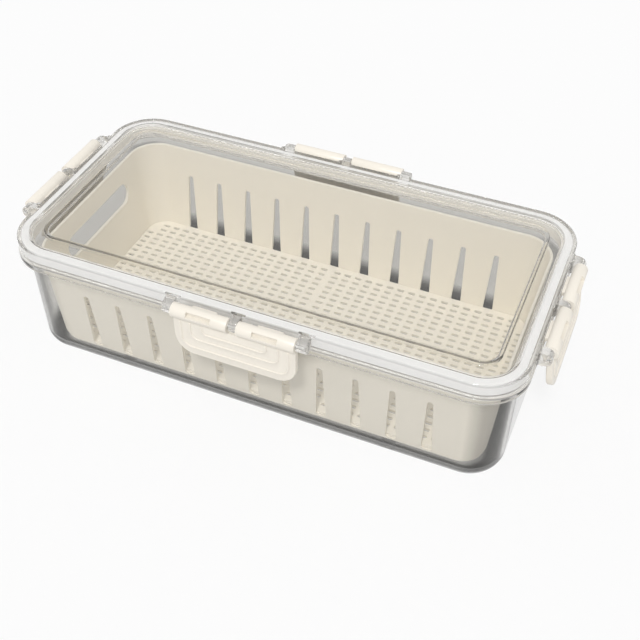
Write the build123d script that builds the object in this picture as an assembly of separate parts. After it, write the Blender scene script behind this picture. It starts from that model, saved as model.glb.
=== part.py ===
from build123d import *
import math
import os

# A clear food storage container: a tub, a lid with a seal, four clip latches on hinge pins,
# and a drain basket that lifts out. Millimetres, degrees for angles. The origin is at the
# middle of the tub's underside, X runs along the length, the front faces -Y and Z is up.

# How far a cutter runs past the face that it cuts, and how closely edges are matched by place
overrun = 2.0
match_gap = 0.1

# Lid outline from above, and the thickness of its walls
lid_length = 290.8
lid_width = 145.8
lid_corner_radius = 25.4
lid_wall = 2.0

# Lid heights, counted up from the seam with the tub
lid_rise = 9.1
lid_seam_gap = 0.3
lid_edge_radius = 1.8

# Raised panel in the middle of the lid, and the crown of the rim round it
panel_margin = 15.0
panel_rise = 0.6
panel_step = 2.4
panel_edge_radius = 0.7
crown_width = 7.0
crown_edge_radius = 0.9

# Channel under the crown that holds the seal, with the tongue on its inner side
channel_width = 4.7
tongue_wall = 1.5
tongue_drop = 0.9
seal_side_gap = 0.15
seal_lip_gap = 0.3
seal_lip_end_gap = 0.5

# Tub
tub_height = 70.3
tub_wall = 2.0
tub_floor = 2.4
tub_wall_inset = 4.4
tub_draft = 0.55
tub_bottom_radius = 11.0
flange_thickness = 4.0
flange_overhang = 0.6
flange_edge_radius = 0.8
neck_radius = 4.0
tub_rim_rise = 2.1

# Low pads on the tub's floor that carry the basket's base rim
pad_radius = 4.0
pad_spacing = 160.0

# Drain basket: gaps to the tub at its base, walls and height
basket_end_gap = 8.0
basket_side_gap = 6.2
basket_wall = 1.8
basket_draft = 4.2
basket_corner_radius = 14.0
basket_lift = 2.6
basket_height = 61.5
basket_edge_radius = 0.6
base_rim_inset = 0.8
base_rim_height = 3.4

# Basket floor: a grille of small holes with a plain strip across the middle
grille_thickness = 1.6
hole_length = 4.6
hole_width = 2.0
hole_pitch_along = 7.1
hole_pitch_across = 4.98
middle_strip = 4.4
holes_each_end = 18
rows_each_side = 11
grille_side_gap = 0.1
hole_margin = 0.8

# Slots in the long walls of the basket, narrow at the top and wide at the bottom
slot_count = 11
slot_pitch = 20.23
slot_top_width = 3.1
slot_bottom_width = 6.2
slot_drop = 18.9
slot_sill = 1.6
slot_corner_radius = 2.0

# Hand holes in the end walls of the basket
hand_hole_length = 67.0
hand_hole_height = 14.4
hand_hole_drop = 12.6

# Hinge line of a latch: out from the lid's face, and down from the top of its rim
hinge_offset = 5.7
hinge_drop = 3.8
pin_radius = 1.1
pin_end_recess = 1.0
knuckle_radius = 4.1
knuckle_shift = 2.1
end_knuckle_width = 5.5
middle_knuckle_width = 4.8
knuckle_bore_gap = 0.02
web_flare = 1.6

# Latch
latch_width = 68.8
latch_drop = 27.8
latch_side_gap = 0.3
latch_bore_gap = 0.08
barrel_radius = 3.9
flap_outer = 1.1
flap_inner = 2.3
flap_corner_radius = 11.0
flap_edge_radius = 0.6
notch_gap = 0.4
bead_width = 1.2
bead_height = 0.55
bead_round = 0.5
bead_start = 5.7
window_inner = 11.5
window_outer = 25.4
window_height = 3.0
window_floor = 0.3
tab_gap = 0.5
tab_rise = 1.2
tab_drop = 0.9
catch_gap = 0.3
catch_height = 2.2
catch_end_gap = 4.4

# How far the right latch stands open at rest, in degrees; the others are closed
right_latch_ajar = 8.0

# Three raised beads on the face of a flap: shares of its half width, drop and corner radius
bead_width_shares = (0.881, 0.721, 0.526)
bead_drop_shares = (0.814, 0.583, 0.395)
bead_corner_shares = (0.55, 0.42, 0.27)

# Heights above the table that several pieces share
rim_top = tub_height + lid_rise
panel_top = rim_top + panel_rise
moat_top = panel_top - panel_step
channel_roof = rim_top - lid_wall
tub_rim_top = tub_height + tub_rim_rise
hinge_height = rim_top - hinge_drop
flange_bottom = tub_height - flange_thickness
basket_bottom = tub_floor + basket_lift
basket_top = basket_bottom + basket_height
grille_top = basket_bottom + base_rim_height
grille_bottom = grille_top - grille_thickness

# Distances in from the lid's outer face that several pieces share
channel_inner = lid_wall + channel_width
tongue_inner = channel_inner + tongue_wall
panel_inner = panel_margin + lid_wall


# Rounded outline at a height, set in from the lid's outer face
def lid_outline(inset, height):
    outline = RectangleRounded(
        lid_length - 2 * inset, lid_width - 2 * inset, lid_corner_radius - inset
    )
    return Pos(0, 0, height) * outline


# Upright block with the lid's outline, set in from its outer face
def lid_block(inset, low, high):
    return extrude(lid_outline(inset, low), high - low)


# Upright ring between two distances in from the lid's outer face
def lid_ring(outer_inset, inner_inset, low, high):
    cutter = lid_block(inner_inset, low - overrun, high + overrun)
    return lid_block(outer_inset, low, high) - cutter


# Edges of a solid that lie flat at one height
def level_edges(solid, height):
    return solid.edges().filter_by_position(Axis.Z, height, height)


# Edges at a height that belong to a loop of a given length along X
def loop_edges(solid, height, loop_length):
    chosen = []
    for wire in solid.faces().filter_by(Plane.XY).wires():
        box = wire.bounding_box()
        at_height = max(abs(box.min.Z - height), abs(box.max.Z - height)) < match_gap
        if at_height and abs(box.size.X - loop_length) < match_gap:
            chosen.extend(wire.edges())
    return chosen


# Tub wall: how far in from the lid's face it stands at a height
def tub_inset(height):
    return tub_wall_inset + (flange_bottom - height) * math.tan(math.radians(tub_draft))


# Block that narrows towards the table with the tub's draft
def tub_block(extra_inset, low, high):
    return extrude(lid_outline(tub_inset(low) + extra_inset, low), high - low, taper=-tub_draft)


def make_tub():
    shell = tub_block(0, 0, tub_rim_top)
    shell = fillet(level_edges(shell, 0), tub_bottom_radius)
    shell += lid_block(-flange_overhang, flange_bottom, tub_height)
    neck = loop_edges(shell, flange_bottom, lid_length - 2 * tub_inset(flange_bottom))
    shell = fillet(neck, neck_radius)
    lip = loop_edges(shell, tub_height, lid_length + 2 * flange_overhang)
    shell = fillet(lip, flange_edge_radius)
    cavity = tub_block(tub_wall, tub_floor, tub_rim_top + overrun)
    cavity = fillet(level_edges(cavity, tub_floor), tub_bottom_radius - tub_wall)
    rim = basket_outline(base_rim_inset, basket_bottom).bounding_box()
    rim_middle = rim.max.Y - (basket_wall - base_rim_inset) / 2
    pads = []
    for x in (-pad_spacing / 2, pad_spacing / 2):
        for y in (-rim_middle, rim_middle):
            pad = extrude(Pos(x, y, tub_floor / 2) * Circle(pad_radius), basket_bottom - tub_floor / 2)
            pads.append(pad)
    return shell - cavity + pads


# Hinge places: the pin line of each side, with the turn that brings the front there
def side_places():
    front = -(lid_width / 2 + hinge_offset)
    end = lid_length / 2 + hinge_offset
    return {
        "front": Pos(0, front, hinge_height),
        "right": Pos(end, 0, hinge_height) * Rot(0, 0, 90),
        "back": Pos(0, -front, hinge_height) * Rot(0, 0, 180),
        "left": Pos(-end, 0, hinge_height) * Rot(0, 0, 270),
    }


# Round bar along the hinge line, centred at a place along it
def hinge_bar(radius, length, along):
    return Pos(along, 0, 0) * Rot(0, 90, 0) * Cylinder(radius, length)


# Height of a knuckle's round nose above the hinge line; its top is level with the rim
knuckle_rise = hinge_drop - knuckle_radius


# One clear knuckle: a round nose set in from the hinge line, and the web that joins it to the skirt
def knuckle(width, along):
    reach = hinge_offset + lid_wall / 2
    flare_start = barrel_radius + notch_gap
    half = width / 2
    web_outline = Polyline(
        (-half, knuckle_shift), (half, knuckle_shift), (half, flare_start),
        (half + web_flare, hinge_offset), (half + web_flare, reach), (-half - web_flare, reach),
        (-half - web_flare, hinge_offset), (-half, flare_start), close=True,
    )
    web_low = knuckle_rise - knuckle_radius
    web = extrude(Pos(along, 0, web_low) * make_face(web_outline), 2 * knuckle_radius)
    return Pos(0, knuckle_shift, knuckle_rise) * hinge_bar(knuckle_radius, width, along) + web


end_knuckle_place = latch_width / 2 + latch_side_gap + end_knuckle_width / 2
knuckles = (
    (end_knuckle_width, -end_knuckle_place),
    (middle_knuckle_width, 0),
    (end_knuckle_width, end_knuckle_place),
)


def make_lid():
    skirt_low = tub_height + lid_seam_gap
    body = lid_block(0, skirt_low, rim_top)
    body = fillet(level_edges(body, rim_top), lid_edge_radius)
    # The moat round the panel, then the panel itself
    body -= lid_block(crown_width, moat_top, rim_top + overrun)
    crown = loop_edges(body, rim_top, lid_length - 2 * crown_width)
    body = fillet(crown, crown_edge_radius)
    panel = lid_block(panel_margin, moat_top - lid_wall, panel_top)
    body += fillet(level_edges(panel, panel_top), panel_edge_radius)
    # Hollows under the lid: the seal's channel, the moat and the panel
    body -= lid_ring(lid_wall, channel_inner, skirt_low - overrun, channel_roof)
    body -= lid_block(tongue_inner, skirt_low - overrun, moat_top - lid_wall)
    body -= lid_block(panel_inner, skirt_low - overrun, panel_top - lid_wall)
    body += lid_ring(channel_inner, tongue_inner, tub_height - tongue_drop, moat_top - lid_wall)
    added = []
    bores = []
    for place in side_places().values():
        for width, along in knuckles:
            added.append(place * knuckle(width, along))
            bores.append(place * hinge_bar(pin_radius + knuckle_bore_gap, width + overrun, along))
    return body + added - bores


def make_seal():
    outer = lid_wall + seal_side_gap
    inner = channel_inner - seal_side_gap
    seal = lid_ring(outer, inner, tub_rim_top, channel_roof)
    # A lip that hangs down between the skirt and the tub's rim
    lip_inner = tub_inset(tub_rim_top) - seal_lip_gap
    return seal + lid_ring(outer, lip_inner, tub_height + seal_lip_end_gap, tub_rim_top)


# Basket outline at a height, set in from its outer face
def basket_outline(inset, height):
    base_inset = tub_inset(tub_floor) + tub_wall
    flare = (height - grille_top) * math.tan(math.radians(basket_draft)) - inset
    outline = RectangleRounded(
        lid_length - 2 * (base_inset + basket_end_gap) + 2 * flare,
        lid_width - 2 * (base_inset + basket_side_gap) + 2 * flare,
        basket_corner_radius + flare,
    )
    return Pos(0, 0, height) * outline


# Block that widens upwards with the basket's draft
def basket_block(inset, low, high):
    return extrude(basket_outline(inset, low), high - low, taper=-basket_draft)


# One tapered slot, as a cutter that runs through both long walls
def slot_cutter(along):
    top = basket_top - slot_drop - slot_top_width / 2
    sill = basket_bottom + slot_sill
    half_top = slot_top_width / 2
    half_bottom = slot_bottom_width / 2
    sides = Polyline((-half_top, top), (-half_bottom, sill), (half_bottom, sill), (half_top, top))
    cap = ThreePointArc((half_top, top), (0, top + half_top), (-half_top, top))
    outline = make_face([sides, cap])
    foot = outline.vertices().filter_by_position(Axis.Y, sill, sill)
    outline = Plane.XZ * fillet(foot, slot_corner_radius)
    return Pos(along, 0, 0) * extrude(outline, lid_width, both=True)


def make_basket():
    walls = basket_block(0, grille_top, basket_top)
    walls = fillet(level_edges(walls, basket_top), basket_edge_radius)
    walls += basket_block(base_rim_inset, basket_bottom, grille_top)
    walls -= basket_block(basket_wall, grille_top, basket_top + overrun)
    walls -= basket_block(basket_wall, basket_bottom - overrun, grille_top)
    walls -= [slot_cutter((number - (slot_count - 1) / 2) * slot_pitch) for number in range(slot_count)]
    hole = Plane.YZ * SlotOverall(hand_hole_length, hand_hole_height)
    height = basket_top - hand_hole_drop - hand_hole_height / 2
    return walls - Pos(0, 0, height) * extrude(hole, lid_length, both=True)


# True where a hole's outer corner keeps its margin to the rounded corner of the plate
def hole_fits(x, y, half_length, half_width, corner_radius):
    past_x = x + hole_length / 2 + hole_margin - (half_length - corner_radius)
    past_y = y + hole_width / 2 + hole_margin - (half_width - corner_radius)
    if past_x > corner_radius or past_y > corner_radius:
        return False
    return past_x < 0 or past_y < 0 or math.hypot(past_x, past_y) < corner_radius


def make_basket_floor():
    outline = basket_outline(basket_wall + grille_side_gap, grille_bottom)
    half_length = outline.bounding_box().size.X / 2
    half_width = outline.bounding_box().size.Y / 2
    corner_radius = basket_corner_radius - basket_wall - grille_side_gap
    hole = Rectangle(hole_length, hole_width)
    holes = []
    for column in range(holes_each_end):
        x = (middle_strip + hole_length) / 2 + column * hole_pitch_along
        for row in range(rows_each_side):
            y = (row + 1 / 2) * hole_pitch_across
            if hole_fits(x, y, half_length, half_width, corner_radius):
                for place in ((x, y), (-x, y), (x, -y), (-x, -y)):
                    holes.append((Pos(place[0], place[1], grille_bottom) * hole).wire())
    return extrude(Face(outline.wire(), holes), grille_thickness)


# Flap outline: square at the hinge line, with rounded lower corners
def flap_outline(half_width, drop, corner_radius):
    shoulder = corner_radius - drop
    foot_half = half_width - corner_radius
    upright = Polyline((-half_width, shoulder), (-half_width, 0), (half_width, 0), (half_width, shoulder))
    right = RadiusArc((half_width, shoulder), (foot_half, -drop), corner_radius)
    foot = Line((foot_half, -drop), (-foot_half, -drop))
    left = RadiusArc((-foot_half, -drop), (-half_width, shoulder), corner_radius)
    return Plane.XZ * make_face([upright, right, foot, left])


# Slab of a flap outline between two distances out from the hinge line
def flap_slab(outline, near, far):
    return Pos(0, -near, 0) * extrude(outline, far - near)


# Block given by its low and high corners
def corner_block(low, high):
    size = [b - a for a, b in zip(low, high)]
    middle = [(a + b) / 2 for a, b in zip(low, high)]
    return Pos(*middle) * Box(*size)


# Rounded bead on the face of a flap, U-shaped, with its legs ending below the barrel
def make_bead(half_width, drop, corner_radius):
    half_bead = bead_width / 2
    outer = flap_outline(half_width + half_bead, drop + half_bead, corner_radius + half_bead)
    inner = flap_outline(half_width - half_bead, drop - half_bead, corner_radius - half_bead)
    bead = flap_slab(outer - inner, 0, flap_outer + bead_height)
    bead -= corner_block((-latch_width, -barrel_radius, -bead_start), (latch_width, barrel_radius, overrun))
    return fillet(bead.edges().group_by(Axis.Y)[0], bead_round)


# One latch on its hinge line, hanging down with its face to -Y
def make_latch():
    half = latch_width / 2
    flap = flap_slab(flap_outline(half, latch_drop, flap_corner_radius), -flap_inner, flap_outer)
    flap = fillet(flap.edges().filter_by(Plane.XZ), flap_edge_radius)
    for width_share, drop_share, corner_share in zip(bead_width_shares, bead_drop_shares, bead_corner_shares):
        flap += make_bead(half * width_share, latch_drop * drop_share, flap_corner_radius * corner_share)
    latch = flap + hinge_bar(barrel_radius, latch_width, 0)
    # Stop tabs on the inner side of the barrels, and the catch on the inner side of the flap
    tab_tip = hinge_offset - tab_gap
    for side in (-1, 1):
        near = min(side * window_inner, side * window_outer)
        far = max(side * window_inner, side * window_outer)
        latch += corner_block((near, 0, -tab_drop), (far, tab_tip, tab_rise))
        window_depth = pin_radius + window_floor
        latch -= corner_block(
            (near, -barrel_radius - overrun, 0), (far, -window_depth, window_height)
        )
    catch_top = flange_bottom - catch_gap - hinge_height
    catch_tip = hinge_offset - flange_overhang - catch_gap
    catch_half = half - catch_end_gap
    latch += corner_block((-catch_half, 0, catch_top - catch_height), (catch_half, catch_tip, catch_top))
    # Room for the middle knuckle, and the bore for the pin
    notch_half = middle_knuckle_width / 2 + latch_side_gap
    notch_reach = knuckle_radius - knuckle_rise + notch_gap
    latch -= corner_block(
        (-notch_half, -notch_reach, -notch_reach), (notch_half, notch_reach, notch_reach)
    )
    return latch - hinge_bar(pin_radius + latch_bore_gap, latch_width + overrun, 0)


def make_pin():
    half_length = end_knuckle_place + end_knuckle_width / 2 - pin_end_recess
    return hinge_bar(pin_radius, 2 * half_length, 0)


pieces = {
    "tub": make_tub(),
    "lid": make_lid(),
    "lid_seal": make_seal(),
    "basket": make_basket(),
    "basket_floor": make_basket_floor(),
}
latch = make_latch()
pin = make_pin()
for side, place in side_places().items():
    ajar = right_latch_ajar if side == "right" else 0
    pieces[f"latch_{side}"] = place * Rot(-ajar, 0, 0) * latch
    pieces[f"pin_{side}"] = place * pin

os.makedirs("parts", exist_ok=True)
for name, piece in pieces.items():
    export_step(piece, f"parts/{name}.step")
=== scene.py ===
import math

import bmesh
import bpy
from mathutils import Matrix, Vector


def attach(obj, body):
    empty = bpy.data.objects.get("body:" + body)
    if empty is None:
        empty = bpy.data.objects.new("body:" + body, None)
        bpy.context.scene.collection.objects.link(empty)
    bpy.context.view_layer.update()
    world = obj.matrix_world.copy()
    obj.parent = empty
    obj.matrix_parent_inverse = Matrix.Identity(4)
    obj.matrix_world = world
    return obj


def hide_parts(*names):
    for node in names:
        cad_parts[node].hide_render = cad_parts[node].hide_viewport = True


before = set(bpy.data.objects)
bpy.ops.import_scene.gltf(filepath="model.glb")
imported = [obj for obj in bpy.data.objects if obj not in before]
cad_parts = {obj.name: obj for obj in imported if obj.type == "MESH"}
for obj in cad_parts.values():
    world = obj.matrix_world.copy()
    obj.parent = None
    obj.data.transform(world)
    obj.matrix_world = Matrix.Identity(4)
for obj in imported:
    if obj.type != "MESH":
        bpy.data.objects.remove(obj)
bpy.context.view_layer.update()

# Clear food container with a cream drain basket and clip latches.
# Sizes in the dictionaries are millimetres, angles are degrees; meshes are in metres.
mm = 0.001
scene = bpy.context.scene
# outer outline of the lid, which tub, lid, seal and the clear plastic's zones are measured in from
planSizes = {"length": 290.8, "width": 145.8, "corner": 25.4, "cornerSteps": 24}


class Wire:
    # wraps an output socket: sums and products of wires add Math nodes to the same tree
    def __init__(self, socket):
        self.socket = socket

    @classmethod
    def node(cls, tree, kind, settings=None, inputs=None, output=0):
        made = tree.nodes.new(kind)
        for key, value in (settings or {}).items():
            if key == "stops":
                fillRamp(made.color_ramp, value)
            else:
                setattr(made, key, value)
        for key, value in (inputs or {}).items():
            if isinstance(value, Wire):
                tree.links.new(value.socket, made.inputs[key])
            else:
                made.inputs[key].default_value = value
        return cls(made.outputs[output])

    def maths(self, operation, first, second=0.0):
        tree = self.socket.id_data
        return Wire.node(tree, "ShaderNodeMath", {"operation": operation}, {0: first, 1: second})

    def __add__(self, other):
        return self.maths("ADD", self, other)

    __radd__ = __add__

    def __sub__(self, other):
        return self.maths("SUBTRACT", self, other)

    def __rsub__(self, other):
        return self.maths("SUBTRACT", other, self)

    def __mul__(self, other):
        return self.maths("MULTIPLY", self, other)

    __rmul__ = __mul__

    def __truediv__(self, other):
        return self.maths("DIVIDE", self, other)

    def __rtruediv__(self, other):
        return self.maths("DIVIDE", other, self)

    def __gt__(self, other):
        return self.maths("GREATER_THAN", self, other)

    def __lt__(self, other):
        return self.maths("LESS_THAN", self, other)

    def __abs__(self):
        return self.maths("ABSOLUTE", self)

    def above(self, other):
        return self.maths("MAXIMUM", self, other)

    def below(self, other):
        return self.maths("MINIMUM", self, other)


def fillRamp(ramp, stops):
    while len(ramp.elements) < len(stops):
        ramp.elements.new(1.0)
    for element, (place, colour) in zip(ramp.elements, stops):
        element.position = place
        element.color = (*colour, 1.0)


# Mesh helpers

def roundedRun(corners, steps):
    # corners of a profile as inset, height and rounding; gives the points of the rounded line
    points = []
    count = len(corners)
    for number, (inset, height, rounding) in enumerate(corners):
        here = Vector((inset, height))
        if rounding == 0:
            points.append(here)
            continue
        before = (Vector(corners[number - 1][:2]) - here).normalized()
        after = (Vector(corners[(number + 1) % count][:2]) - here).normalized()
        half = before.angle(after) / 2
        centre = here + (before + after).normalized() * rounding / math.sin(half)
        start = here + before * rounding / math.tan(half) - centre
        end = here + after * rounding / math.tan(half) - centre
        turn = math.atan2(start.cross(end), start.dot(end))
        for step in range(steps + 1):
            points.append(centre + Matrix.Rotation(turn * step / steps, 2) @ start)
    return points


def roundedLoop(halfX, halfY, radius, height, steps):
    # points of a rounded rectangle, anticlockwise from above
    loop = []
    for quarter, (sideX, sideY) in enumerate(((1, 1), (-1, 1), (-1, -1), (1, -1))):
        for step in range(steps + 1):
            angle = math.radians(90) * (quarter + step / steps)
            x = sideX * (halfX - radius) + radius * math.cos(angle)
            y = sideY * (halfY - radius) + radius * math.sin(angle)
            loop.append((x * mm, y * mm, height * mm))
    return loop


def sweptShell(name, profile, plan, ring):
    # carries a profile of insets and heights round a rounded rectangle; an open profile is capped
    build = bmesh.new()
    loops = []
    for inset, height in profile:
        halfX, halfY = plan["length"] / 2 - inset, plan["width"] / 2 - inset
        points = roundedLoop(halfX, halfY, plan["corner"] - inset, height, plan["cornerSteps"])
        loops.append([build.verts.new(point) for point in points])
    pairs = list(zip(loops, loops[1:]))
    if ring:
        pairs.append((loops[-1], loops[0]))
    else:
        build.faces.new(loops[0])
        build.faces.new(loops[-1])
    around = len(loops[0])
    for lower, upper in pairs:
        for here in range(around):
            there = (here + 1) % around
            build.faces.new((lower[here], lower[there], upper[there], upper[here]))
    bmesh.ops.recalc_face_normals(build, faces=build.faces)
    return newObject(name, build)


def prism(build, outline, low, high, turn):
    # closed block between two heights of a flat outline, anticlockwise from above
    rows = []
    for height in (low, high):
        rows.append([build.verts.new(turn @ (Vector((x, y, height)) * mm)) for x, y in outline])
    build.faces.new(reversed(rows[0]))
    build.faces.new(rows[1])
    count = len(outline)
    for here in range(count):
        there = (here + 1) % count
        build.faces.new((rows[0][here], rows[0][there], rows[1][there], rows[1][here]))


def inSteadyOrder(build):
    # the same mesh with its points and faces in a fixed order; a bevel's order changes from run to run,
    # and a boolean that follows it would not cut quite the same faces
    points = sorted(build.verts, key=lambda vert: vert.co[:])
    numbers = {vert: number for number, vert in enumerate(points)}
    loops = []
    for face in build.faces:
        loop = [numbers[vert] for vert in face.verts]
        start = loop.index(min(loop))
        loops.append(loop[start:] + loop[:start])
    steady = bmesh.new()
    verts = [steady.verts.new(point.co) for point in points]
    for loop in sorted(loops):
        steady.faces.new([verts[number] for number in loop])
    build.free()
    return steady


def newObject(name, build):
    mesh = bpy.data.meshes.new(name)
    build.to_mesh(mesh)
    build.free()
    made = bpy.data.objects.new(name, mesh)
    scene.collection.objects.link(made)
    return made


def addModifier(piece, kind, **settings):
    modifier = piece.modifiers.new(kind.title(), kind)
    for key, value in settings.items():
        setattr(modifier, key, value)
    return modifier


def applyModifiers(piece):
    # puts the evaluated mesh in place of the piece's own and drops the modifiers
    scene.view_layers[0].update()
    shown = piece.evaluated_get(bpy.context.evaluated_depsgraph_get())
    mesh = bpy.data.meshes.new_from_object(shown)
    piece.modifiers.clear()
    old = piece.data
    piece.data = mesh
    mesh.name = piece.name
    bpy.data.meshes.remove(old)


def combine(piece, *cuts):
    # booleans with throw-away tools, given as pairs of tool and operation
    for tool, operation in cuts:
        addModifier(piece, "BOOLEAN", object=tool, operation=operation, solver="EXACT", use_self=True)
    applyModifiers(piece)
    for tool, operation in cuts:
        bpy.data.meshes.remove(tool.data)


def smoothByAngle(piece, degrees):
    build = bmesh.new()
    build.from_mesh(piece.data)
    limit = math.radians(degrees)
    for face in build.faces:
        face.smooth = True
    for edge in build.edges:
        edge.smooth = len(edge.link_faces) == 2 and edge.calc_face_angle(0.0) < limit
    build.to_mesh(piece.data)
    build.free()


def softenEdges(piece, width, segments=2, degrees=40):
    addModifier(
        piece, "BEVEL", width=width * mm, segments=segments, limit_method="ANGLE",
        angle_limit=math.radians(degrees), miter_outer="MITER_ARC",
    )
    applyModifiers(piece)


def finishNormals(piece, degrees=35):
    smoothByAngle(piece, degrees)
    addModifier(piece, "WEIGHTED_NORMAL", keep_sharp=True)
    applyModifiers(piece)


def dress(piece, body, material, slot, *nodes):
    piece.data.materials.clear()
    piece.data.materials.append(material)
    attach(piece, body)
    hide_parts(*nodes)


# Geometry Nodes helpers

def newGeometryTree(name, values):
    # an empty tree with one named input for each value
    tree = bpy.data.node_groups.new(name, "GeometryNodeTree")
    for key, value in values.items():
        kind = "Int" if isinstance(value, int) else "Float"
        if isinstance(value, bpy.types.ID):
            kind = value.rna_type.identifier
        tree.interface.new_socket(key, in_out="INPUT", socket_type="NodeSocket" + kind)
    tree.interface.new_socket("Geometry", in_out="OUTPUT", socket_type="NodeSocketGeometry")
    source = tree.nodes.new("NodeGroupInput")
    return tree, {key: Wire(source.outputs[key]) for key in values}


def endTree(tree, shape, material):
    real = Wire.node(tree, "GeometryNodeRealizeInstances", {}, {"Geometry": shape})
    dressed = Wire.node(tree, "GeometryNodeSetMaterial", {}, {"Geometry": real, "Material": material})
    sheet = tree.nodes.new("NodeGroupOutput")
    tree.links.new(dressed.socket, sheet.inputs[0])


def joined(tree, *wires):
    whole = Wire.node(tree, "GeometryNodeJoinGeometry")
    for wire in wires:
        tree.links.new(wire.socket, whole.socket.node.inputs[0])
    return whole


def along(tree, x=0.0, y=0.0, z=0.0):
    return Wire.node(tree, "ShaderNodeCombineXYZ", {}, {"X": x, "Y": y, "Z": z})


def moved(tree, shape, shift):
    return Wire.node(tree, "GeometryNodeTransform", {}, {"Geometry": shape, "Translation": shift})


def roundedFrame(tree, length, width, radius, steps):
    sizes = {"Width": length, "Height": width}
    box = Wire.node(tree, "GeometryNodeCurvePrimitiveQuadrilateral", {"mode": "RECTANGLE"}, sizes)
    rounding = {"Curve": box, "Count": steps, "Radius": radius}
    return Wire.node(tree, "GeometryNodeFilletCurve", {"mode": "POLY"}, rounding)


def grow(name, tree, values):
    # a piece made by a tree, whose inputs are set by their identifiers
    piece = newObject(name, bmesh.new())
    modifier = piece.modifiers.new(name, "NODES")
    modifier.node_group = tree
    for socket in tree.interface.items_tree:
        if socket.in_out == "INPUT":
            modifier[socket.identifier] = values[socket.name]
    applyModifiers(piece)
    build = bmesh.new()
    build.from_mesh(piece.data)
    bmesh.ops.recalc_face_normals(build, faces=build.faces)
    build.to_mesh(piece.data)
    build.free()
    return piece


# Materials

def newMaterial(name, **fixed):
    material = bpy.data.materials.new(name)
    material.use_nodes = True
    tree = material.node_tree
    tree.nodes.clear()
    shader = tree.nodes.new("ShaderNodeBsdfPrincipled")
    sheet = tree.nodes.new("ShaderNodeOutputMaterial")
    tree.links.new(shader.outputs[0], sheet.inputs[0])
    for key, value in fixed.items():
        shader.inputs[key.replace("_", " ")].default_value = value
    place = Wire.node(tree, "ShaderNodeTexCoord", output="Object")
    return material, tree, shader, place


def feed(tree, shader, **wires):
    for key, wire in wires.items():
        tree.links.new(wire.socket, shader.inputs[key.replace("_", " ")])


def showShader(tree, wire):
    # puts a mixed shader in place of the plain one that the material was made with
    sheet = next(node for node in tree.nodes if node.type == "OUTPUT_MATERIAL")
    tree.links.new(wire.socket, sheet.inputs[0])


def noise(tree, place, scale, detail=2.0):
    return Wire.node(tree, "ShaderNodeTexNoise", {}, {"Vector": place, "Scale": scale, "Detail": detail})


def mottled(tree, cloud, finish):
    # goes from the dark shade of a finish to its light one as the cloud thickens
    stops = ((0.3, finish["dark"]), (0.7, finish["light"]))
    return Wire.node(tree, "ShaderNodeValToRGB", {"stops": stops}, {"Fac": cloud})


def ramp(value, start, end):
    # goes from 0 to 1 while the value goes from start to end, up or down
    return ((value - start) / (end - start)).above(0.0).below(1.0)


def outlineFields(x, y, plan):
    # distance in from a rounded outline, and distance past the start of its corner bends, both in mm
    pastX = abs(x) / mm - (plan["length"] / 2 - plan["corner"])
    pastY = abs(y) / mm - (plan["width"] / 2 - plan["corner"])
    roundX, roundY = pastX.above(0.0), pastY.above(0.0)
    square = roundX * roundX + roundY * roundY
    inset = plan["corner"] - square.maths("SQRT", square) - pastX.above(pastY).below(0.0)
    return inset, pastX.below(pastY)


# each zone of the clear plastic is given by insets from the plan and heights
clearFinish = {
    "tint": (0.705, 0.697, 0.677), "polish": 0.0, "haze": 0.03, "hazeScale": 45.0, "index": 1.37,
    "litThrough": 0.99, "milk": (0.9, 0.88, 0.84),
    # painted light: the clear plastic of the rims above the flange, over the seal, is made lighter
    "rimReach": 8.4, "rimLow": 64.0, "rimPaintedLight": 1.1,
    # painted shade: a darker band along the outer top edge of the rim
    "edgeReach": 0.9, "edgeLow": 77.7, "edgePaintedShade": 0.75,
    # painted shade: a dark line along the edge of the raised panel
    "stepFrom": 14.8, "stepTo": 15.5, "stepLow": 79.1, "stepPaintedShade": 0.22,
    # painted shade: the clear plastic is darker at the neck under the flange
    "neckFrom": 4.0, "neckLow": 55.0, "neckHigh": 60.0, "neckTop": 71.0, "neckPaintedShade": 0.9,
    # painted shade: the clear plastic is darker low down towards the outside of the foot
    "footLow": 6.0, "footTop": 13.0, "footFrom": 14.0, "footTo": 20.0, "footPaintedShade": 0.15,
    # painted shade: the tub's clear plastic is darker round its corner bends
    "bendFrom": 1.0, "bendTo": 9.0, "bendPaintedShade": 0.64,
    "knuckleFrom": -1.0, "knuckleHaze": 0.08, "knuckleMilk": 0.16,
    "seamLow": 69.6, "seamHigh": 71.4, "seamMilk": 0.28,
    "tongueFrom": 6.6, "tongueTo": 8.4, "tongueHigh": 75.7, "tongueMilk": 0.8,
    "crownFrom": 6.7, "crownTo": 7.4, "crownLow": 77.8, "crownMilk": 0.3,
}


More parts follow.
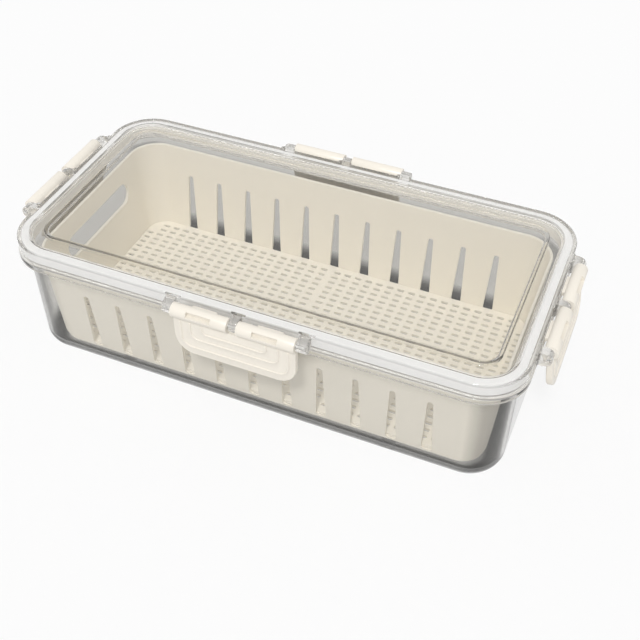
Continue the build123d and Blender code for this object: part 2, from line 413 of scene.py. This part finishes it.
def makeClearPlastic():
    finish = clearFinish
    material, tree, shader, place = newMaterial("clearPlastic", IOR=finish["index"], Transmission_Weight=1.0)
    x = Wire.node(tree, "ShaderNodeSeparateXYZ", {}, {0: place}, "X")
    y, height = Wire(x.socket.node.outputs["Y"]), Wire(x.socket.node.outputs["Z"]) / mm
    inset, bend = outlineFields(x, y, planSizes)
    # painted light and shade in the tint: a painted lighter rim over the seal, and painted shade that
    # darkens the edges of rim and panel, the foot, the corner bends and the neck
    rim = (finish["rimReach"] > inset) * (height > finish["rimLow"])
    edge = (finish["edgeReach"] > inset) * (height > finish["edgeLow"])
    step = (inset > finish["stepFrom"]) * (finish["stepTo"] > inset) * (height > finish["stepLow"])
    foot = ramp(height, finish["footTop"], finish["footLow"])
    foot = foot * ramp(inset, finish["footTo"], finish["footFrom"])
    curve = ramp(bend, finish["bendFrom"], finish["bendTo"]) * (finish["rimLow"] > height)
    neck = ramp(height, finish["neckLow"], finish["neckHigh"])
    neck = neck * (inset > finish["neckFrom"]) * (finish["neckTop"] > height)
    depth = 1 + (finish["rimPaintedLight"] - 1) * rim + (finish["footPaintedShade"] - 1) * foot
    zones = ((edge, "edgePaintedShade"), (step, "stepPaintedShade"), (curve, "bendPaintedShade"), (neck, "neckPaintedShade"))
    for zone, share in zones:
        depth = depth * (1 - (1 - finish[share]) * zone)
    tint = Wire.node(tree, "ShaderNodeCombineColor", {}, {
        key: part * depth for key, part in zip(("Red", "Green", "Blue"), finish["tint"])
    })
    knuckle = finish["knuckleFrom"] > inset
    haze = finish["haze"] * noise(tree, place, finish["hazeScale"]) + finish["knuckleHaze"] * knuckle
    feed(tree, shader, Base_Color=tint, Roughness=finish["polish"] + haze)
    # knuckles, tongue, crown and the edges at the seam are milky, because they were never polished
    seam = (height > finish["seamLow"]) * (finish["seamHigh"] > height)
    tongue = (inset > finish["tongueFrom"]) * (finish["tongueTo"] > inset)
    tongue = tongue * rim * (finish["tongueHigh"] > height)
    crown = (inset > finish["crownFrom"]) * (finish["crownTo"] > inset) * (height > finish["crownLow"])
    cloudy = (finish["knuckleMilk"] * knuckle).above(finish["seamMilk"] * seam)
    cloudy = cloudy.above(finish["tongueMilk"] * tongue).above(finish["crownMilk"] * crown)
    milk = Wire.node(tree, "ShaderNodeBsdfDiffuse", {}, {"Color": (*finish["milk"], 1)})
    body = Wire.node(tree, "ShaderNodeMixShader", {}, {0: cloudy, 1: Wire(shader.outputs[0]), 2: milk})
    # light that comes in by lamps or bounces passes straight through the thin walls
    ray = Wire.node(tree, "ShaderNodeLightPath", output="Is Shadow Ray")
    bounced = Wire(ray.socket.node.outputs["Is Diffuse Ray"])
    through = Wire.node(tree, "ShaderNodeBsdfTransparent", {}, {"Color": (*[finish["litThrough"]] * 3, 1)})
    mixed = Wire.node(tree, "ShaderNodeMixShader", {}, {0: ray.above(bounced), 1: body, 2: through})
    showShader(tree, mixed)
    return material


mouldedGrain = {
    "index": 1.49, "cloudScale": 18.0, "cloudDetail": 4.0, "grainScale": 2600.0, "grainSpread": 0.1,
    "bump": 0.06, "bumpDepth": 0.1,
}
basketFinish = {"light": (0.93, 0.886, 0.793), "dark": (0.92, 0.876, 0.783), "roughness": 0.42}
latchFinish = {"light": (0.77, 0.725, 0.645), "dark": (0.76, 0.715, 0.635), "roughness": 0.34}


def makeMoulded(name, finish):
    relief = mouldedGrain
    material, tree, shader, place = newMaterial(name, IOR=relief["index"])
    cloud = noise(tree, place, relief["cloudScale"], relief["cloudDetail"])
    grain = noise(tree, place, relief["grainScale"])
    bump = Wire.node(tree, "ShaderNodeBump", {}, {
        "Strength": relief["bump"], "Distance": relief["bumpDepth"] * mm, "Height": grain,
    })
    roughness = finish["roughness"] + relief["grainSpread"] * (grain - 0.5)
    feed(tree, shader, Base_Color=mottled(tree, cloud, finish), Roughness=roughness, Normal=bump)
    return material


sealFinish = {
    "light": (0.95, 0.95, 0.955), "dark": (0.93, 0.93, 0.935), "roughness": 0.5, "cloudSpread": 0.1,
    "cloudScale": 40.0, "index": 1.43,
}


def makeSilicone():
    finish = sealFinish
    material, tree, shader, place = newMaterial("whiteSilicone", IOR=finish["index"])
    cloud = noise(tree, place, finish["cloudScale"])
    roughness = finish["roughness"] + finish["cloudSpread"] * cloud
    feed(tree, shader, Base_Color=mottled(tree, cloud, finish), Roughness=roughness)
    return material


pinFinish = {"colour": (0.6, 0.6, 0.61), "roughness": 0.25, "streakSpread": 0.15, "streakScale": 900.0}


def makeSteel():
    finish = pinFinish
    material, tree, shader, place = newMaterial("pinSteel", Base_Color=(*finish["colour"], 1), Metallic=1.0)
    streak = noise(tree, place, finish["streakScale"])
    feed(tree, shader, Roughness=finish["roughness"] + finish["streakSpread"] * streak)
    return material


clearPlastic = makeClearPlastic()
basketPlastic = makeMoulded("basketPlastic", basketFinish)
latchPlastic = makeMoulded("latchPlastic", latchFinish)
whiteSilicone = makeSilicone()
pinSteel = makeSteel()
print("materials ready")

# Tub: a drafted box with a flange and a rim that stands up into the lid

tubSizes = {
    "wall": 2.0, "floor": 2.4, "wallInset": 4.4, "draft": 0.55, "bottomRound": 11.0, "flatStart": 1.0,
    "seam": 70.3, "flangeLow": 66.3, "overhang": 0.6, "rimTop": 72.4, "neckRound": 3.6, "edgeRound": 0.5,
    "lipRound": 0.8, "roundSteps": 8,
    "padRadius": 4.0, "padSpacing": 160.0, "padLine": 58.64, "padTop": 5.0, "padGap": 0.05, "padSteps": 36,
}


def tubInset(height):
    size = tubSizes
    return size["wallInset"] + (size["flangeLow"] - height) * math.tan(math.radians(size["draft"]))


def makePads():
    # four low pads that carry the basket
    size = tubSizes
    turns = [math.radians(360 * step / size["padSteps"]) for step in range(size["padSteps"])]
    circle = [(size["padRadius"] * math.cos(turn), size["padRadius"] * math.sin(turn)) for turn in turns]
    pads = bmesh.new()
    for middleX in (-size["padSpacing"] / 2, size["padSpacing"] / 2):
        for middleY in (-size["padLine"], size["padLine"]):
            outline = [(middleX + x, middleY + y) for x, y in circle]
            prism(pads, outline, size["floor"] / 2, size["padTop"] - size["padGap"], Matrix.Identity(4))
    return newObject("tubPads", pads)


def makeTub():
    size = tubSizes
    edge = size["edgeRound"]
    inner = size["bottomRound"] - size["wall"]
    rim = tubInset(size["rimTop"])
    base = tubInset(size["floor"]) + size["wall"]
    corners = (
        (tubInset(0) + size["bottomRound"] + size["flatStart"], 0, 0), (tubInset(0), 0, size["bottomRound"]),
        (size["wallInset"], size["flangeLow"], size["neckRound"]),
        (-size["overhang"], size["flangeLow"], edge), (-size["overhang"], size["seam"], size["lipRound"]),
        (tubInset(size["seam"]), size["seam"], edge),
        (rim, size["rimTop"], edge), (rim + size["wall"], size["rimTop"], edge),
        (base, size["floor"], inner), (base + inner + size["flatStart"], size["floor"], 0),
    )
    shell = sweptShell("tubShell", roundedRun(corners, size["roundSteps"]), planSizes, False)
    combine(shell, (makePads(), "UNION"))
    finishNormals(shell)
    return shell


dress(makeTub(), "tub", clearPlastic, "clear_plastic", "tub")
print("tub ready")

# Lid: raised panel, moat, rim crown, skirt and the tongue beside the seal, with hinge knuckles

lidSizes = {
    "wall": 2.0, "skirtLow": 70.6, "rimTop": 79.4, "panelTop": 80.0, "panelMargin": 15.0, "moatTop": 77.6,
    "crownWidth": 7.0, "channelInner": 6.7, "tongueInner": 8.2, "tongueLow": 69.4, "edgeRound": 0.5,
    "panelRound": 0.7, "crownRound": 0.9, "rimRound": 1.8, "roundSteps": 5,
}
knuckleSizes = {
    "offset": 5.7, "height": 75.6, "radius": 4.1, "shift": 2.1, "rise": -0.3, "bore": 1.15,
    "endWidth": 5.5, "middleWidth": 4.8, "endPlace": 37.45, "flare": 1.6, "flareStart": 4.3, "flareSteps": 6,
    "edge": 0.5, "edgeSteps": 3, "barSteps": 48,
}
sides = ("front", "right", "back", "left")


def hingeLine(side):
    # takes a point beside the front hinge to the same point on another side
    span = planSizes["width"] if side in ("front", "back") else planSizes["length"]
    turn = Matrix.Rotation(math.radians(90) * sides.index(side), 4, "Z")
    reach = span / 2 + knuckleSizes["offset"]
    return turn @ Matrix.Translation((0, -reach * mm, knuckleSizes["height"] * mm))


def hingeBar(build, radius, width, middle, edge, turn):
    # a round bar along the hinge line, with rounded ends where an edge is given
    size = knuckleSizes
    start = Matrix.Translation(Vector(middle) * mm) @ Matrix.Rotation(math.radians(90), 4, "Y")
    made = bmesh.ops.create_cone(
        build, segments=size["barSteps"], radius1=radius * mm, radius2=radius * mm, depth=width * mm,
        cap_ends=True, matrix=turn @ start,
    )
    if edge:
        # the edges of the caps, once each
        edges = [line for vert in made["verts"] for line in vert.link_edges]
        rims = dict.fromkeys(line for line in edges if any(len(face.verts) > 4 for face in line.link_faces))
        bmesh.ops.bevel(
            build, geom=list(rims), offset=edge * mm, segments=size["edgeSteps"], profile=0.5, affect="EDGES"
        )


def hingeWeb(build, width, place, turn):
    # the web that joins a knuckle's round nose to the skirt, flared where it meets it
    size = knuckleSizes
    half = width / 2
    run = size["offset"] - size["flareStart"]
    side = [(half, size["shift"])]
    for step in range(size["flareSteps"] + 1):
        share = step / size["flareSteps"]
        lift = 1 - math.cos(share * math.radians(90))
        side.append((half + size["flare"] * lift, size["flareStart"] + run * share))
    side.append((half + size["flare"], size["offset"] + lidSizes["wall"] / 2))
    outline = side + [(-x, y) for x, y in reversed(side)]
    outline = [(place + x, y) for x, y in outline]
    prism(build, outline, size["rise"] - size["radius"], size["rise"] + size["radius"], turn)


def makeKnuckles():
    size = knuckleSizes
    solid, bores = bmesh.new(), bmesh.new()
    end, middle = size["endWidth"], size["middleWidth"]
    rows = ((end, -size["endPlace"]), (middle, 0), (end, size["endPlace"]))
    for side in sides:
        turn = hingeLine(side)
        for width, place in rows:
            hingeBar(solid, size["radius"], width, (place, size["shift"], size["rise"]), size["edge"], turn)
            hingeWeb(solid, width, place, turn)
            hingeBar(bores, size["bore"], 2 * width, (place, 0, 0), 0, turn)
    return newObject("knuckleSolids", inSteadyOrder(solid)), newObject("knuckleBores", bores)


def makeLid():
    size = lidSizes
    wall, edge = size["wall"], size["edgeRound"]
    inside = size["panelMargin"] + wall
    channelTop, moatUnder, panelUnder = (size[key] - wall for key in ("rimTop", "moatTop", "panelTop"))
    corners = (
        (inside + wall, size["panelTop"], 0), (size["panelMargin"], size["panelTop"], size["panelRound"]),
        (size["panelMargin"], size["moatTop"], edge), (size["crownWidth"], size["moatTop"], edge),
        (size["crownWidth"], size["rimTop"], size["crownRound"]), (0, size["rimTop"], size["rimRound"]),
        (0, size["skirtLow"], edge), (wall, size["skirtLow"], edge), (wall, channelTop, edge),
        (size["channelInner"], channelTop, edge), (size["channelInner"], size["tongueLow"], edge),
        (size["tongueInner"], size["tongueLow"], edge), (size["tongueInner"], moatUnder, edge),
        (inside, moatUnder, edge), (inside, panelUnder, edge), (inside + wall, panelUnder, 0),
    )
    shell = sweptShell("lidShell", roundedRun(corners, size["roundSteps"]), planSizes, False)
    solids, bores = makeKnuckles()
    combine(shell, (solids, "UNION"), (bores, "DIFFERENCE"))
    finishNormals(shell)
    return shell


dress(makeLid(), "lid", clearPlastic, "clear_plastic", "lid")
print("lid ready")

# Seal: a soft white ring in the channel under the lid's rim

sealSizes = {
    "outer": 2.2, "inner": 6.5, "low": 72.45, "high": 77.3, "lipInner": 4.0, "lipLow": 70.85, "edge": 0.7,
    "roundSteps": 4,
}


def makeSeal():
    size = sealSizes
    places = (
        (size["inner"], size["low"]), (size["lipInner"], size["low"]), (size["lipInner"], size["lipLow"]),
        (size["outer"], size["lipLow"]), (size["outer"], size["high"]), (size["inner"], size["high"]),
    )
    corners = [(inset, height, size["edge"]) for inset, height in places]
    ring = sweptShell("sealRing", roundedRun(corners, size["roundSteps"]), planSizes, True)
    finishNormals(ring)
    return ring


dress(makeSeal(), "lid", whiteSilicone, "white_silicone", "lid_seal")
print("seal ready")

# Basket: flared walls with slots and hand holes, and a perforated grille for a floor

basketSizes = {
    "length": 260.774, "width": 119.374, "corner": 14.0, "cornerSteps": 16, "wall": 1.8, "draft": 4.2,
    "low": 5.0, "grilleTop": 8.4, "top": 66.5, "rimInset": 0.8, "topRound": 0.7, "footRound": 0.3,
    "roundSteps": 4, "soft": 0.25,
    "handLength": 67.0, "handHeight": 14.4, "handMiddle": 46.7, "handRound": 7.15, "handSteps": 10,
}
slotSizes = {
    "count": 11, "pitch": 20.23, "topWidth": 3.1, "bottomWidth": 6.2, "top": 47.6, "sill": 6.6,
    "topRound": 1.5, "footRound": 2.0, "roundSteps": 6, "reach": 75.0,
}


def makeSlots():
    # one tapered cutter through both long walls, repeated along them
    size = slotSizes
    halfTop, halfFoot = size["topWidth"] / 2, size["bottomWidth"] / 2
    corners = (
        (-halfTop, size["top"], size["topRound"]), (-halfFoot, size["sill"], size["footRound"]),
        (halfFoot, size["sill"], size["footRound"]), (halfTop, size["top"], size["topRound"]),
    )
    build = bmesh.new()
    upright = Matrix.Rotation(math.radians(90), 4, "X")
    prism(build, roundedRun(corners, size["roundSteps"]), -size["reach"], size["reach"], upright)
    cutter = newObject("slotCutter", build)
    values = {"Count": size["count"], "Pitch": size["pitch"] * mm, "Cutter": cutter}
    tree, given = newGeometryTree("slotTree", values)
    first = given["Pitch"] * (given["Count"] - 1) / -2
    row = Wire.node(tree, "GeometryNodeMeshLine", {"mode": "OFFSET"}, {
        "Count": given["Count"], "Start Location": along(tree, first),
        "Offset": along(tree, given["Pitch"]),
    })
    shape = Wire.node(tree, "GeometryNodeObjectInfo", {}, {"Object": given["Cutter"]}, "Geometry")
    slots = Wire.node(tree, "GeometryNodeInstanceOnPoints", {}, {"Points": row, "Instance": shape})
    endTree(tree, slots, basketPlastic)
    made = grow("slotCutters", tree, values)
    bpy.data.meshes.remove(cutter.data)
    return made


def makeHandHoles():
    # one rounded cutter along the length, through both ends
    size = basketSizes
    halfLength, halfHeight = size["handLength"] / 2, size["handHeight"] / 2
    low, high = size["handMiddle"] - halfHeight, size["handMiddle"] + halfHeight
    places = ((-halfLength, high), (-halfLength, low), (halfLength, low), (halfLength, high))
    corners = [(across, height, size["handRound"]) for across, height in places]
    reach = size["length"] / 2 + size["handHeight"]
    lengthwise = Matrix(((0, 0, 1), (1, 0, 0), (0, 1, 0))).to_4x4()
    build = bmesh.new()
    prism(build, roundedRun(corners, size["handSteps"]), -reach, reach, lengthwise)
    return newObject("handHoles", build)


def makeBasket():
    size = basketSizes
    flare = math.tan(math.radians(size["draft"]))
    low, top = ((size["grilleTop"] - size[key]) * flare for key in ("low", "top"))
    foot, lip, wall = size["footRound"], size["topRound"], size["wall"]
    corners = (
        (low + size["rimInset"], size["low"], foot), (size["rimInset"], size["grilleTop"], foot),
        (0, size["grilleTop"], foot), (top, size["top"], lip),
        (top + wall, size["top"], lip), (low + wall, size["low"], foot),
    )
    walls = sweptShell("basketWalls", roundedRun(corners, size["roundSteps"]), size, True)
    combine(walls, (makeSlots(), "DIFFERENCE"), (makeHandHoles(), "DIFFERENCE"))
    softenEdges(walls, size["soft"])
    finishNormals(walls)
    return walls


grilleSizes = {
    "Length": 256.738, "Width": 115.338, "Corner": 11.98, "Corner Steps": 12, "Low": 6.8, "Thickness": 1.6,
    "Hole Length": 4.6, "Hole Width": 2.0, "Hole Corner": 0.5, "Hole Steps": 1, "Pitch Along": 7.1,
    "Pitch Across": 4.98, "Middle": 4.4, "Columns": 18, "Rows": 22, "Margin": 0.8, "Merge": 0.01,
}


def makeGrille():
    values = {key: value if isinstance(value, int) else value * mm for key, value in grilleSizes.items()}
    tree, given = newGeometryTree("grilleTree", values)
    outline = roundedFrame(tree, given["Length"], given["Width"], given["Corner"], given["Corner Steps"])
    hole = roundedFrame(
        tree, given["Hole Length"], given["Hole Width"], given["Hole Corner"], given["Hole Steps"]
    )
    reach = (given["Columns"] - 1) * given["Pitch Along"]
    grid = Wire.node(tree, "GeometryNodeMeshGrid", {}, {
        "Size X": reach, "Size Y": (given["Rows"] - 1) * given["Pitch Across"],
        "Vertices X": given["Columns"], "Vertices Y": given["Rows"],
    })
    away = (given["Middle"] + given["Hole Length"] + reach) / 2
    places = joined(tree, moved(tree, grid, along(tree, away)), moved(tree, grid, along(tree, -1 * away)))
    # holes whose outer corner would come too near the rounded corner of the plate are left out
    x = Wire.node(tree, "ShaderNodeSeparateXYZ", {}, {0: Wire.node(tree, "GeometryNodeInputPosition")}, "X")
    y = Wire(x.socket.node.outputs["Y"])
    inner = given["Corner"] + given["Margin"]
    pastX = (abs(x) + inner + (given["Hole Length"] - given["Length"]) / 2).above(0.0)
    pastY = (abs(y) + inner + (given["Hole Width"] - given["Width"]) / 2).above(0.0)
    outside = pastX * pastX + pastY * pastY > given["Corner"] * given["Corner"]
    kept = Wire.node(tree, "GeometryNodeDeleteGeometry", {}, {"Geometry": places, "Selection": outside})
    holes = Wire.node(tree, "GeometryNodeInstanceOnPoints", {}, {"Points": kept, "Instance": hole})
    cut = joined(tree, outline, Wire.node(tree, "GeometryNodeRealizeInstances", {}, {"Geometry": holes}))
    flat = Wire.node(tree, "GeometryNodeFillCurve", {"mode": "TRIANGLES"}, {"Curve": cut})
    raised = Wire.node(tree, "GeometryNodeExtrudeMesh", {}, {
        "Mesh": flat, "Offset Scale": given["Thickness"], "Individual": False,
    })
    under = Wire.node(tree, "GeometryNodeFlipFaces", {}, {"Mesh": flat})
    plate = Wire.node(tree, "GeometryNodeMergeByDistance", {}, {
        "Geometry": joined(tree, raised, under), "Distance": given["Merge"],
    })
    endTree(tree, moved(tree, plate, along(tree, z=given["Low"])), basketPlastic)
    return grow("basketGrille", tree, values)


dress(makeBasket(), "basket", basketPlastic, "basket_plastic", "basket")
dress(makeGrille(), "basket", basketPlastic, "basket_plastic", "basket_floor")
print("basket ready")

# Latches and their pins

latchMesh = {"weld": 0.002, "flatWithin": 0.6, "soft": 0.12, "smoothWithin": 35.0}


def makeLatch(side):
    # a welded copy of the CAD node's loose triangles, with flat areas joined up and edges softened
    size = latchMesh
    build = bmesh.new()
    build.from_mesh(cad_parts[f"latch_{side}"].data)
    bmesh.ops.remove_doubles(build, verts=build.verts, dist=size["weld"] * mm)
    flatWithin = math.radians(size["flatWithin"])
    bmesh.ops.dissolve_limit(build, angle_limit=flatWithin, verts=build.verts, edges=build.edges)
    latch = newObject(f"latchClip_{side}", build)
    softenEdges(latch, size["soft"])
    smoothByAngle(latch, size["smoothWithin"])
    return latch


for side in sides:
    dress(makeLatch(side), f"latch_{side}", latchPlastic, "latch_plastic", f"latch_{side}")
    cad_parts[f"pin_{side}"].data.materials[0] = pinSteel
print("latches ready")

# Floor, light and camera

def seenRays(tree):
    # 1 for what the eye sees, directly or in mirrors and glass
    ray = Wire.node(tree, "ShaderNodeLightPath", output="Is Camera Ray")
    glossy, clear = (Wire(ray.socket.node.outputs[key]) for key in ("Is Glossy Ray", "Is Transmission Ray"))
    return ray.above(glossy).above(clear)


floorFinish = {"colour": (0.72, 0.72, 0.72), "roughness": 0.9, "white": 0.8, "reach": 30000.0}


def makeFloor():
    finish = floorFinish
    build = bmesh.new()
    bmesh.ops.create_grid(build, x_segments=1, y_segments=1, size=finish["reach"] * mm)
    floor = newObject("studioFloor", build)
    fixed = {"Base_Color": (*finish["colour"], 1), "Roughness": finish["roughness"]}
    material, tree, shader, place = newMaterial("studioFloor", **fixed)
    # the eye, mirrors and glass see most of the floor as plain white, and the rest of it keeps the shadow
    white = Wire.node(tree, "ShaderNodeEmission", {}, {"Color": (1, 1, 1, 1), "Strength": 1.0})
    share = finish["white"] * seenRays(tree)
    mixed = Wire.node(tree, "ShaderNodeMixShader", {}, {0: share, 1: Wire(shader.outputs[0]), 2: white})
    showShader(tree, mixed)
    floor.data.materials.append(material)


skyLight = {"horizon": 0.72, "zenith": 0.82}


def makeSky():
    world = bpy.data.worlds.new("studio")
    scene.world = world
    world.use_nodes = True
    tree = world.node_tree
    tree.nodes.clear()
    towards = Wire.node(tree, "ShaderNodeTexCoord", output="Generated")
    height = Wire.node(tree, "ShaderNodeSeparateXYZ", {}, {0: towards}, "Z").above(0.0)
    strength = skyLight["horizon"] + (skyLight["zenith"] - skyLight["horizon"]) * height
    # where it is seen, the sky is as white as the floor
    strength = strength.above(seenRays(tree))
    light = Wire.node(tree, "ShaderNodeBackground", {}, {"Color": (1, 1, 1, 1), "Strength": strength})
    sheet = tree.nodes.new("ShaderNodeOutputWorld")
    tree.links.new(light.socket, sheet.inputs[0])


def directionTo(azimuth, elevation):
    # unit vector from the object towards a place seen at these angles; 0, 0 is straight in front
    across, up = math.radians(azimuth), math.radians(elevation)
    return Vector((math.sin(across) * math.cos(up), -math.cos(across) * math.cos(up), math.sin(up)))


keyLight = {"azimuth": 8.0, "elevation": 55.0, "strength": 1.6, "spread": 10.0}


def makeKeyLight():
    data = bpy.data.lights.new("keyLight", "SUN")
    data.energy = keyLight["strength"]
    data.angle = math.radians(keyLight["spread"])
    lamp = bpy.data.objects.new("keyLight", data)
    scene.collection.objects.link(lamp)
    towards = directionTo(keyLight["azimuth"], keyLight["elevation"])
    lamp.matrix_world = towards.to_track_quat("Z", "Y").to_matrix().to_4x4()


photoCamera = {
    "place": (177.23, -393.71, 420.63), "azimuth": 22.456, "elevation": 43.423, "roll": 0.443,
    "lens": 55.87, "sensor": 36.0, "nearest": 10.0,
}


def makeCamera():
    view = photoCamera
    across = math.radians(view["azimuth"])
    back = directionTo(view["azimuth"], view["elevation"])
    level = Vector((math.cos(across), math.sin(across), 0))
    right = Matrix.Rotation(math.radians(view["roll"]), 3, back) @ level
    data = bpy.data.cameras.new("photoCamera")
    data.lens = view["lens"]
    data.sensor_width = view["sensor"]
    data.clip_start = view["nearest"] * mm
    camera = bpy.data.objects.new("photoCamera", data)
    scene.collection.objects.link(camera)
    turn = Matrix((right, back.cross(right), back)).transposed().to_4x4()
    camera.matrix_world = Matrix.Translation(Vector(view["place"]) * mm) @ turn
    scene.camera = camera


makeFloor()
makeSky()
makeKeyLight()
makeCamera()
scene.view_settings.view_transform = "Standard"
print("studio ready")
